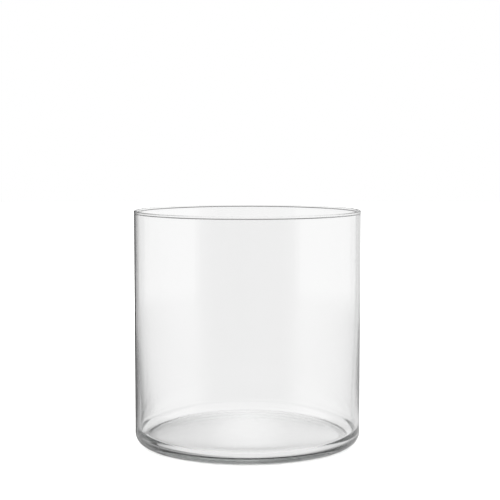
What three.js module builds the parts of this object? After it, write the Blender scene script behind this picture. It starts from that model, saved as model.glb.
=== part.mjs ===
// Clear glass cylinder vase, blown as one piece of glass.
// Millimetres, +Z up. The origin is the centre of the foot, on the surface that the vase stands on.

import * as THREE from "three";

// Driving dimensions
const height = 200; // foot to the top of the rim
const outerDiameter = 194; // outside of the straight wall
const upperWall = 1.8; // wall thickness above the taper
const lowerWall = 3.8; // wall thickness where the wall runs into the base
const taperTop = 110; // height above the foot at which the wall starts to thicken
const beadLip = 0.4; // how far the fire-polished rim stands proud of each face of the wall
const beadNeckRadius = 1.5; // hollow rounding between the rim bead and the wall
const heelRadius = 9; // outside rounding between the wall and the foot
const innerHeelRadius = 10; // inside rounding between the wall and the floor
const baseThickness = 5.5; // glass under the edge of the floor
const floorCrown = 0.8; // rise of the floor at its centre
const footRingWidth = 8; // flat ring that the vase rests on
const pushUp = 1.2; // height of the hollow under the base

// How finely the round shapes are stepped
const turnSteps = 64;
const heelSteps = 6;
const beadSteps = 8;
const neckSteps = 2;
const taperSteps = 6;
const floorSteps = 4;
const pushUpSteps = 4;

// Radii and heights that follow from the driving dimensions
const outerRadius = outerDiameter / 2;
const footOuterRadius = outerRadius - heelRadius;
const footInnerRadius = footOuterRadius - footRingWidth;
const upperInnerRadius = outerRadius - upperWall;
const lowerInnerRadius = outerRadius - lowerWall;
const floorRadius = lowerInnerRadius - innerHeelRadius;
const innerHeelTop = baseThickness + innerHeelRadius;

const QUARTER = Math.PI / 2;

// Points of an arc in the (radius, height) plane, both ends included.
function arc(centreRadius, centreHeight, radius, startAngle, endAngle, steps) {
  return Array.from({ length: steps + 1 }, (_, i) => {
    const angle = THREE.MathUtils.lerp(startAngle, endAngle, i / steps);
    return new THREE.Vector2(
      centreRadius + radius * Math.cos(angle),
      centreHeight + radius * Math.sin(angle),
    );
  });
}

// Underside: a shallow spherical hollow, so that only the ring round it touches the table.
function undersideProfile() {
  const sphereRadius = (footInnerRadius ** 2 + pushUp ** 2) / (2 * pushUp);
  const edgeAngle = Math.acos(footInnerRadius / sphereRadius);
  return arc(0, pushUp - sphereRadius, sphereRadius, QUARTER, edgeAngle, pushUpSteps);
}

// Outside rounding from the foot ring up to the straight wall.
function heelProfile() {
  return arc(footOuterRadius, heelRadius, heelRadius, -QUARTER, 0, heelSteps);
}

// Rim: a round bead on the end of the wall, with a small hollow rounding on each side below it.
function rimProfile() {
  const beadRadius = upperWall / 2 + beadLip;
  const beadCentreRadius = outerRadius - upperWall / 2;
  const beadCentreHeight = height - beadRadius;
  const across = upperWall / 2 + beadNeckRadius;
  const down = Math.sqrt((beadRadius + beadNeckRadius) ** 2 - across ** 2);
  const tilt = Math.atan2(down, across);
  const neckHeight = beadCentreHeight - down;
  const outerNeck = arc(
    beadCentreRadius + across, neckHeight, beadNeckRadius, Math.PI, Math.PI - tilt, neckSteps,
  );
  const bead = arc(
    beadCentreRadius, beadCentreHeight, beadRadius, -tilt, Math.PI + tilt, beadSteps,
  );
  const innerNeck = arc(
    beadCentreRadius - across, neckHeight, beadNeckRadius, tilt, 0, neckSteps,
  );
  return [...outerNeck, ...bead.slice(1, -1), ...innerNeck];
}

// Inside wall, from the top of the taper down: the glass thickens smoothly towards the base.
function innerWallProfile() {
  return Array.from({ length: taperSteps }, (_, i) => {
    const level = THREE.MathUtils.lerp(taperTop, innerHeelTop, i / taperSteps);
    const share = THREE.MathUtils.smoothstep(taperTop - level, 0, taperTop - innerHeelTop);
    return new THREE.Vector2(
      THREE.MathUtils.lerp(upperInnerRadius, lowerInnerRadius, share),
      level,
    );
  });
}

// Inside rounding from the wall to the floor, and the slightly crowned floor up to the axis.
function floorProfile() {
  const heel = arc(floorRadius, innerHeelTop, innerHeelRadius, 0, -QUARTER, heelSteps);
  const floor = Array.from({ length: floorSteps }, (_, i) => {
    const radius = THREE.MathUtils.lerp(floorRadius, 0, (i + 1) / floorSteps);
    const rise = (floorCrown * (1 + Math.cos((Math.PI * radius) / floorRadius))) / 2;
    return new THREE.Vector2(radius, baseThickness + rise);
  });
  return [...heel, ...floor];
}

function makeVaseBody() {
  const profile = [
    ...undersideProfile(),
    ...heelProfile(),
    ...rimProfile(),
    ...innerWallProfile(),
    ...floorProfile(),
  ];
  const clearGlass = new THREE.MeshStandardMaterial({
    color: 0xe8eeec,
    roughness: 0.03,
    metalness: 0,
    transparent: true,
    opacity: 0.3,
  });
  const mesh = new THREE.Mesh(new THREE.LatheGeometry(profile, turnSteps), clearGlass);
  mesh.name = "vase_body";
  mesh.rotation.x = QUARTER; // the lathe turns about Y, and the vase stands along Z
  return mesh;
}

const vase = new THREE.Group();
vase.add(makeVaseBody());

export default vase;
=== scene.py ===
import math

import bpy
from mathutils import Euler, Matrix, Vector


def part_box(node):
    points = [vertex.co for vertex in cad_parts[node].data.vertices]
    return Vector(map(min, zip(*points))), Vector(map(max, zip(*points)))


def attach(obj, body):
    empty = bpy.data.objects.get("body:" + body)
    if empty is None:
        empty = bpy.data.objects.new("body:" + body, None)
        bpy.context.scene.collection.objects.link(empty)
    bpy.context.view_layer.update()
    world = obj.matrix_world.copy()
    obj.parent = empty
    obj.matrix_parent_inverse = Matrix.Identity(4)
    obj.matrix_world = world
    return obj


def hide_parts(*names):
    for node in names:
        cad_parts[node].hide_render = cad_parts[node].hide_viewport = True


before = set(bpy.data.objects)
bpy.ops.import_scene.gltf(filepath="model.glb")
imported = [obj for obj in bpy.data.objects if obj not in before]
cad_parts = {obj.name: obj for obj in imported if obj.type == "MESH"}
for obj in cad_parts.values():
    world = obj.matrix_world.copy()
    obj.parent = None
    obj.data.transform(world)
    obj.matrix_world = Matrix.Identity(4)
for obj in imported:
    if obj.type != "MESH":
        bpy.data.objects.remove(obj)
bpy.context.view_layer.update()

# Clear glass cylinder vase, blown in one piece. Metres, +Z up, foot on the floor.
# The studio comes last: the white table, the sweep and the room round the vase, and the camera.

MM = 0.001
TURN = 2 * math.pi
QUARTER_TURN = math.pi / 2

# Sizes of the glass. Height and width come from the frame, the rest are the glassmaker's own.
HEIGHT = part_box("vase_body")[1][2]
BEAD_LIP = 0.4 * MM           # how far the fire-polished rim stands proud of each face
WALL_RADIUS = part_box("vase_body")[1][0] - BEAD_LIP
HEEL_RADIUS = 9 * MM
FOOT_RING_WIDTH = 8 * MM
GLASS_SIZES = {
    "Height": HEIGHT,
    "Wall Radius": WALL_RADIUS,
    "Upper Wall": 1.8 * MM,
    "Lower Wall": 3.8 * MM,
    "Taper Top": 110 * MM,
    "Bead Lip": BEAD_LIP,
    "Bead Neck Radius": 1.5 * MM,
    "Heel Radius": HEEL_RADIUS,
    "Inner Heel Radius": 10 * MM,
    "Base Thickness": 5.5 * MM,
    "Floor Crown": 0.8 * MM,
    "Foot Ring Width": FOOT_RING_WIDTH,
    "Push Up": 1.2 * MM,
    "Blown Wave": 0.12 * MM,      # how far the blown wall wanders from a true cylinder
}
TURN_STEPS = 256
BLOW_SEED = 7
WELD = 0.001 * MM             # points closer than this are one

# How finely each stretch of the profile is drawn.
STEPS = {
    "hollow": 24,
    "foot ring": 4,
    "heel": 20,
    "outer wall": 70,
    "neck": 5,
    "bead": 24,
    "upper wall": 24,
    "taper": 40,
    "inner heel": 20,
    "floor": 28,
}


# ---------------------------------------------------------------- nodes as expressions

class Wire:
    """A node's output, usable in Python expressions: each operator adds its Math node."""

    def __init__(self, bench, socket):
        self.bench, self.socket = bench, socket

    def _math(self, operation, *values):
        return self.bench.add("ShaderNodeMath", {"operation": operation}, dict(enumerate(values)))

    def __add__(self, other):
        return self._math("ADD", self, other)

    def __radd__(self, other):
        return self._math("ADD", other, self)

    def __sub__(self, other):
        return self._math("SUBTRACT", self, other)

    def __rsub__(self, other):
        return self._math("SUBTRACT", other, self)

    def __mul__(self, other):
        return self._math("MULTIPLY", self, other)

    def __rmul__(self, other):
        return self._math("MULTIPLY", other, self)

    def __truediv__(self, other):
        return self._math("DIVIDE", self, other)

    def __pow__(self, other):
        return self._math("POWER", self, other)

    def __neg__(self):
        return self._math("MULTIPLY", self, -1.0)

    def __abs__(self):
        return self._math("ABSOLUTE", self)

    def sin(self):
        return self._math("SINE", self)

    def cos(self):
        return self._math("COSINE", self)

    def sqrt(self):
        return self._math("SQRT", self)

    def floor(self):
        return self._math("FLOOR", self)

    def angle_over(self, other):
        """The angle, in radians, of a rise of this much over a run of that much."""
        return self._math("ARCTAN2", self, other)

    def at_least(self, other):
        return self._math("MAXIMUM", self, other)

    def at_most(self, other):
        return self._math("MINIMUM", self, other)

    def ease(self, low, high):
        """0 up to low and 1 from high on, with a smooth rise between them."""
        return self.bench.add(
            "ShaderNodeMapRange",
            {"interpolation_type": "SMOOTHSTEP"},
            {"Value": self, "From Min": low, "From Max": high},
        )


class Bench:
    """Builds one node tree, for a material, a world or Geometry Nodes."""

    def __init__(self, tree):
        self.tree = tree

    def node(self, kind, settings=None, sockets=None):
        """A node of this type, with its settings set first and then its sockets, by name or number."""
        made = self.tree.nodes.new(kind)
        for name, value in (settings or {}).items():
            setattr(made, name, value)
        for key, value in (sockets or {}).items():
            self.feed(made.inputs[key], value)
        return made

    def add(self, kind, settings=None, sockets=None, out=0):
        """The same, giving back the output to go on with."""
        return Wire(self, self.node(kind, settings, sockets).outputs[out])

    def feed(self, socket, value):
        if isinstance(value, Wire):
            self.tree.links.new(value.socket, socket)
        else:
            socket.default_value = value

    def vector(self, x, y, z):
        return self.add("ShaderNodeCombineXYZ", None, {"X": x, "Y": y, "Z": z})

    def parts_of(self, vector):
        split = self.node("ShaderNodeSeparateXYZ", None, {0: vector})
        return [Wire(self, s) for s in split.outputs]

    def mix(self, share, low, high):
        """Between two numbers."""
        return self.add("ShaderNodeMix", {"data_type": "FLOAT"}, {0: share, 2: low, 3: high})


# ---------------------------------------------------------------- the glass

class Profile:
    """The glassmaker's profile in the (radius, height) plane, drawn stretch by stretch.

    A stretch starts at its first point and stops one step short of its last, where the next begins.
    Only the last one, which ends on the axis, is drawn to its end.
    """

    def __init__(self, bench):
        self.bench, self.stretches = bench, []

    def stretch(self, steps, point_at, to_the_end=False):
        bench = self.bench
        count = steps + 1 if to_the_end else steps
        line = bench.add("GeometryNodeMeshLine", None, {"Count": count})
        share = bench.add("GeometryNodeInputIndex") / steps
        radius, level = point_at(share)
        placed = bench.add(
            "GeometryNodeSetPosition", None,
            {"Geometry": line, "Position": bench.vector(radius, 0.0, level)},
        )
        self.stretches.append(placed)

    def line(self, steps, start, end):
        self.stretch(steps, lambda t: tuple(a + (b - a) * t for a, b in zip(start, end)))

    def arc(self, steps, centre, radius, start, end):
        def point_at(t):
            angle = start + (end - start) * t
            return centre[0] + radius * angle.cos(), centre[1] + radius * angle.sin()
        self.stretch(steps, point_at)

    def joined(self):
        joint = self.bench.node("GeometryNodeJoinGeometry")
        for placed in reversed(self.stretches):       # the node lists what is linked last first
            self.bench.tree.links.new(placed.socket, joint.inputs[0])
        return Wire(self.bench, joint.outputs[0])


def draw_profile(bench, size):
    """From the axis under the base, out round the heel, over the rim and down inside to the axis."""
    wall, height = size["Wall Radius"], size["Height"]
    heel, inner_heel = size["Heel Radius"], size["Inner Heel Radius"]
    foot_outer = wall - heel
    foot_inner = foot_outer - size["Foot Ring Width"]
    upper_inner = wall - size["Upper Wall"]
    lower_inner = wall - size["Lower Wall"]
    floor_edge = lower_inner - inner_heel
    base = size["Base Thickness"]
    inner_heel_top = base + inner_heel

    # The rim is a round bead, which a small hollow neck joins to each face of the wall.
    half_wall = size["Upper Wall"] / 2
    bead = half_wall + size["Bead Lip"]
    neck = size["Bead Neck Radius"]
    middle = wall - half_wall
    bead_level = height - bead
    across = half_wall + neck
    down = ((bead + neck) ** 2.0 - across ** 2.0).sqrt()
    tilt = down.angle_over(across)
    neck_level = bead_level - down

    def hollow(t):
        """The shallow hollow under the base, highest on the axis."""
        return foot_inner * t, size["Push Up"] * (1 - t * t)

    def taper(t):
        """The wall thickens smoothly on its way down to the base."""
        share = t.ease(0.0, 1.0)
        level = size["Taper Top"] + (inner_heel_top - size["Taper Top"]) * t
        return upper_inner + (lower_inner - upper_inner) * share, level

    def crowned_floor(t):
        rise = size["Floor Crown"] * (1 - (t * math.pi).cos()) / 2
        return floor_edge * (1 - t), base + rise

    profile = Profile(bench)
    profile.stretch(STEPS["hollow"], hollow)
    profile.line(STEPS["foot ring"], (foot_inner, 0.0), (foot_outer, 0.0))
    profile.arc(STEPS["heel"], (foot_outer, heel), heel, -QUARTER_TURN, 0.0)
    profile.line(STEPS["outer wall"], (wall, heel), (wall, neck_level))
    profile.arc(STEPS["neck"], (middle + across, neck_level), neck, math.pi, math.pi - tilt)
    profile.arc(STEPS["bead"], (middle, bead_level), bead, -tilt, math.pi + tilt)
    profile.arc(STEPS["neck"], (middle - across, neck_level), neck, tilt, 0.0)
    profile.line(STEPS["upper wall"], (upper_inner, neck_level), (upper_inner, size["Taper Top"]))
    profile.stretch(STEPS["taper"], taper)
    profile.arc(STEPS["inner heel"], (floor_edge, inner_heel_top), inner_heel, 0.0, -QUARTER_TURN)
    profile.stretch(STEPS["floor"], crowned_floor, to_the_end=True)
    return profile.joined()


def wandering(bench, size):
    """How far each point of the wall is off a true cylinder, along its normal."""
    x, y, z = bench.parts_of(bench.add("GeometryNodeInputPosition"))
    reach = (x * x + y * y).sqrt()
    in_the_wall = (size["Wall Radius"] - 1.3 * MM, size["Wall Radius"] - 0.5 * MM)
    inside = 1 - reach.ease(*in_the_wall)
    drawn_up = 0.45               # below 1, the waves are longer up the wall than round it
    other_waves = 3.0             # the inner face doesn't repeat the outer one
    wander = bench.add(
        "ShaderNodeTexNoise",
        {"noise_dimensions": "4D"},
        {"Vector": bench.vector(x, y, z * drawn_up), "W": size["Seed"] + inside * other_waves,
         "Scale": 16.0, "Detail": 1.5, "Roughness": 0.4},
    )
    clear_of_foot = z.ease(0.0, 25 * MM)
    clear_of_rim = 1 - z.ease(size["Height"] - 4 * MM, size["Height"])
    return (wander - 0.5) * 2.0 * size["Blown Wave"] * (clear_of_foot * clear_of_rim)


def turned_glass_tree(glass):
    """Geometry Nodes: the profile turned round the axis, with the small waviness of blown glass."""
    tree = bpy.data.node_groups.new("turned glass", "GeometryNodeTree")
    tree.interface.new_socket("Geometry", in_out="OUTPUT", socket_type="NodeSocketGeometry")
    for name in GLASS_SIZES:
        tree.interface.new_socket(name, in_out="INPUT", socket_type="NodeSocketFloat")
    for name in ("Turn Steps", "Seed"):
        tree.interface.new_socket(name, in_out="INPUT", socket_type="NodeSocketInt")

    bench = Bench(tree)
    entry = bench.node("NodeGroupInput")
    size = {s.name: Wire(bench, s) for s in entry.outputs if s.name}
    profile = draw_profile(bench, size)

    # The grid has a row of points for each step of the turn, with one for each point of the profile.
    points = bench.add("GeometryNodeAttributeDomainSize", None, {"Geometry": profile})
    sheet = bench.add(
        "GeometryNodeMeshGrid", None, {"Vertices X": size["Turn Steps"] + 1, "Vertices Y": points},
    )
    index = bench.add("GeometryNodeInputIndex")
    step = (index / points).floor()
    point = bench.add(
        "GeometryNodeSampleIndex",
        {"data_type": "FLOAT_VECTOR"},
        {"Geometry": profile, "Value": bench.add("GeometryNodeInputPosition"),
         "Index": index - step * points},
    )
    radius, _, level = bench.parts_of(point)
    turn = step / size["Turn Steps"] * TURN
    turned = bench.add(
        "GeometryNodeSetPosition", None,
        {"Geometry": sheet, "Position": bench.vector(radius * turn.cos(), radius * turn.sin(), level)},
    )
    closed = bench.add("GeometryNodeMergeByDistance", None, {"Geometry": turned, "Distance": WELD})

    outwards = bench.add(
        "ShaderNodeVectorMath",
        {"operation": "SCALE"},
        {0: bench.add("GeometryNodeInputNormal"), "Scale": wandering(bench, size)},
    )
    blown = bench.add("GeometryNodeSetPosition", None, {"Geometry": closed, "Offset": outwards})
    smooth = bench.add("GeometryNodeSetShadeSmooth", None, {"Geometry": blown})
    real = bench.add("GeometryNodeRealizeInstances", None, {"Geometry": smooth})
    finished = bench.add("GeometryNodeSetMaterial", None, {"Geometry": real, "Material": glass})
    bench.node("NodeGroupOutput", None, {0: finished})
    return tree


def made_by_nodes(name, tree, values):
    """A plain mesh object, from a Geometry Nodes tree with these values at its inputs."""
    blank = bpy.data.objects.new(name + "_blank", bpy.data.meshes.new(name + "_blank"))
    bpy.context.scene.collection.objects.link(blank)
    maker = blank.modifiers.new("maker", "NODES")
    maker.node_group = tree
    for socket in tree.interface.items_tree:
        if socket.in_out == "INPUT":
            maker[socket.identifier] = values[socket.name]
    graph = bpy.context.evaluated_depsgraph_get()
    mesh = bpy.data.meshes.new_from_object(blank.evaluated_get(graph))
    mesh.name = name
    blank.modifiers.clear()
    bpy.data.objects.remove(blank)
    made = bpy.data.objects.new(name, mesh)
    bpy.context.scene.collection.objects.link(made)
    return made


def glass_surface(bench, place):
    """Long shallow ripples drawn down the wall, and a faint orange-peel from the mould."""
    x, y, z = bench.parts_of(place)
    drawn_down = 0.12             # below 1, the ripples are longer down the wall than round it
    ripples = bench.add(
        "ShaderNodeTexNoise", None,
        {"Vector": bench.vector(x, y, z * drawn_down), "Scale": 45.0, "Detail": 2.0, "Roughness": 0.5},
    )
    peel = bench.add(
        "ShaderNodeTexNoise", None,
        {"Vector": place, "Scale": 160.0, "Detail": 1.0, "Roughness": 0.4},
    )
    peel_share = 0.15
    clear_of_heel = z.ease(4 * MM, 40 * MM)
    return bench.add(
        "ShaderNodeBump", None,
        {"Strength": 0.06, "Distance": 1 * MM, "Height": (ripples + peel * peel_share) * clear_of_heel},
    )


def foot_scuffs(bench, place):
    """Roughness: fine scuffs on the flat ring that the vase stands on, and none elsewhere."""
    x, y, z = bench.parts_of(place)
    reach = (x * x + y * y).sqrt()
    foot_outer = WALL_RADIUS - HEEL_RADIUS
    foot_inner = foot_outer - FOOT_RING_WIDTH
    ring = reach.ease(foot_inner - 1.5 * MM, foot_inner)
    ring = ring * (1 - reach.ease(foot_outer + 0.5 * MM, foot_outer + 2 * MM))
    touching = ring * (1 - z.ease(0.05 * MM, 0.4 * MM))
    grit = bench.add(
        "ShaderNodeTexNoise", None,
        {"Vector": place, "Scale": 900.0, "Detail": 3.0, "Roughness": 0.7},
    )
    least, most = 0.12, 0.37
    return touching * (least + grit * (most - least))


def clear_glass():
    """Soda-lime glass: fire-polished, faintly green in its depth, scuffed where it stands."""
    material = bpy.data.materials.new("clear_glass")
    material.use_nodes = True
    material.node_tree.nodes.clear()
    bench = Bench(material.node_tree)
    place = bench.add("ShaderNodeTexCoord", None, None, "Object")
    glass = bench.node(
        "ShaderNodeBsdfPrincipled", None,
        {"Base Color": (1.0, 1.0, 1.0, 1.0), "Roughness": foot_scuffs(bench, place), "IOR": 1.5,
         "Transmission Weight": 1.0, "Normal": glass_surface(bench, place)},
    )
    depth = bench.node(
        "ShaderNodeVolumeAbsorption", None, {"Color": (0.80, 0.93, 0.88, 1.0), "Density": 1.2},
    )
    out = bench.node("ShaderNodeOutputMaterial")
    material.node_tree.links.new(glass.outputs[0], out.inputs["Surface"])
    material.node_tree.links.new(depth.outputs[0], out.inputs["Volume"])
    return material


def blow_vase():
    glass = clear_glass()
    values = dict(GLASS_SIZES, **{"Turn Steps": TURN_STEPS, "Seed": BLOW_SEED})
    vase = made_by_nodes("blown_glass", turned_glass_tree(glass), values)
    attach(vase, "root")
    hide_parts("vase_body")


# ---------------------------------------------------------------- the studio

# What stands round the vase. A heading of 0 is straight behind it, plus to the right, and a lift of 0
# is level. Both are in degrees, and a pair of them is a soft edge, from its start to its end.
# A brightness of 1 is pure white.
SWEEP = 0.965                 # the white sweep behind the vase, as seen through the glass
SWEEP_TOP = (8.0, 13.0)
LEFT_ABOVE_SWEEP = 0.2        # share of the sweep's brightness

CARD_LEFT = (-21.0, -19.0)    # a tall black card behind the vase on the left, fading towards the middle
CARD_RIGHT = (-18.7, -3.0)
CARD_FOOT = (-50.0, -38.0)
CARD_TOP = (25.0, 40.0)
LEFT_THROUGH_CARD = 0.04      # share of what is behind the card
LEFT_BY_CARD_MIRRORED = 0.06

ROOM_ON_LEFT = 0.46           # the room, as the glass mirrors it
ROOM_ON_RIGHT = 0.72
ROOM_BLEND = (-0.3, 0.3)      # sines of the headings where left turns into right
SWEEP_SIDE = (0.0, 5.0)       # the middle of the sweep is mirrored white
BOX_NEAR_SWEEP = (36.0, 39.0)
BOX_NEAR_CAMERA = (126.0, 128.0)
BOX_FOOT = (-8.5, -6.5)
BOX_LIGHT = 0.3               # a soft box along each side adds this much
CAMERA_SIDE = (112.0, 150.0)
ROOM_BEHIND_CAMERA = 0.2
TABLE_EDGE = (-55.0, -25.0)
TABLE_LIGHT = 0.85
DARK_STRIP = (13.0, 19.0)     # a dark strip between the walls and the ceiling
DARK_STRIP_LIGHT = 0.06
CEILING_EDGE = (32.0, 42.0)
CEILING_LIGHT = 1.1

LAMPS = 2.0                   # what lights the table
TABLE_PAINT = (0.9, 0.9, 0.9, 1.0)
TABLE_REACH = 4.0

# How often light may turn before it is lost. Light that is led round and round inside the heel dies
# out, which leaves thin dark lines there.
TURNS_IN_ALL = 24
TURNS_BY_MIRRORING = 16

# The camera stands about a metre off, just above the rim, and looks slightly down.
CAMERA_PLACE = (0.0022, -1.1345, 0.2641)
CAMERA_DIP = math.radians(4.97)
CAMERA_LENS = 95.4
CAMERA_FILM = 36.0


def white_table():
    """A wide white table top, which the vase stands on. The glass sees the studio instead of it."""
    mesh = bpy.data.meshes.new("studio_floor")
    reach = TABLE_REACH
    corners = [(-reach, -reach, 0), (reach, -reach, 0), (reach, reach, 0), (-reach, reach, 0)]
    mesh.from_pydata(corners, [], [(0, 1, 2, 3)])
    table = bpy.data.objects.new("studio_floor", mesh)
    bpy.context.scene.collection.objects.link(table)
    material = bpy.data.materials.new("white_table")
    material.use_nodes = True
    material.node_tree.nodes.clear()
    bench = Bench(material.node_tree)
    paint = bench.add("ShaderNodeBsdfDiffuse", None, {"Color": TABLE_PAINT})
    bench.node("ShaderNodeOutputMaterial", None, {"Surface": paint})
    mesh.materials.append(material)
    table.visible_glossy = False
    table.visible_transmission = False


def between(angle, start, end):
    """1 between two soft edges and 0 outside them."""
    return angle.ease(*start) * (1 - angle.ease(*end))


def mirrored_room(bench, rightness, side, lift):
    """The dim room over the white table and under the bright ceiling, with its soft boxes."""
    room = bench.mix(rightness.ease(*ROOM_BLEND), ROOM_ON_LEFT, ROOM_ON_RIGHT)
    room = bench.mix(side.ease(*SWEEP_SIDE), 1.0, room)
    room = bench.mix(side.ease(*CAMERA_SIDE), room, ROOM_BEHIND_CAMERA)
    boxes = between(side, BOX_NEAR_SWEEP, BOX_NEAR_CAMERA) * lift.ease(*BOX_FOOT)
    room = room + boxes * BOX_LIGHT
    room = bench.mix(lift.ease(*TABLE_EDGE), TABLE_LIGHT, room)
    room = bench.mix(lift.ease(*DARK_STRIP), room, DARK_STRIP_LIGHT)
    return bench.mix(lift.ease(*CEILING_EDGE), room, CEILING_LIGHT)


def studio_world():
    """White to the camera. Through the glass it is the sweep, and in its reflections the room."""
    world = bpy.data.worlds.new("studio")
    bpy.context.scene.world = world
    world.use_nodes = True
    world.node_tree.nodes.clear()
    bench = Bench(world.node_tree)
    x, y, z = bench.parts_of(bench.add("ShaderNodeTexCoord", None, None, "Generated"))
    run = (x * x + y * y).sqrt()
    heading = x.angle_over(y) * math.degrees(1)
    lift = z.angle_over(run) * math.degrees(1)

    card = between(heading, CARD_LEFT, CARD_RIGHT) * between(lift, CARD_FOOT, CARD_TOP)
    sweep = SWEEP * (1 - card * card * (1 - LEFT_THROUGH_CARD))
    sweep = sweep * (1 - lift.ease(*SWEEP_TOP) * (1 - LEFT_ABOVE_SWEEP))
    least_run = 0.001             # straight up and down have none, which can't be divided by
    rightness = x / run.at_least(least_run)
    room = mirrored_room(bench, rightness, abs(heading), lift)
    room = room * (1 - card * (1 - LEFT_BY_CARD_MIRRORED))

    path = bench.node("ShaderNodeLightPath")
    camera, diffused, mirrored, refracted = (
        Wire(bench, path.outputs[n])
        for n in ("Is Camera Ray", "Diffuse Depth", "Glossy Depth", "Transmission Depth")
    )
    by_glass = (mirrored + refracted).at_most(1.0) * (1 - diffused.at_most(1.0))
    in_glass = bench.mix(mirrored.at_most(1.0), sweep, room)
    strength = bench.mix(camera, bench.mix(by_glass, LAMPS, in_glass), 1.0)
    shine = bench.add("ShaderNodeBackground", None, {"Color": (1, 1, 1, 1), "Strength": strength})
    bench.node("ShaderNodeOutputWorld", None, {"Surface": shine})


def place_camera():
    camera = bpy.data.cameras.new("camera")
    camera.sensor_width = CAMERA_FILM
    camera.lens = CAMERA_LENS
    camera.clip_start = 0.01
    camera.clip_end = 50.0
    stand = bpy.data.objects.new("camera", camera)
    stand.location = CAMERA_PLACE
    stand.rotation_euler = Euler((math.pi / 2 - CAMERA_DIP, 0.0, 0.0))
    bpy.context.scene.collection.objects.link(stand)
    bpy.context.scene.camera = stand


def limit_light():
    cycles = bpy.context.scene.cycles
    cycles.max_bounces = TURNS_IN_ALL
    cycles.transmission_bounces = TURNS_IN_ALL
    cycles.glossy_bounces = TURNS_BY_MIRRORING


blow_vase()
white_table()
studio_world()
place_camera()
limit_light()
bpy.context.scene.view_settings.view_transform = "Standard"
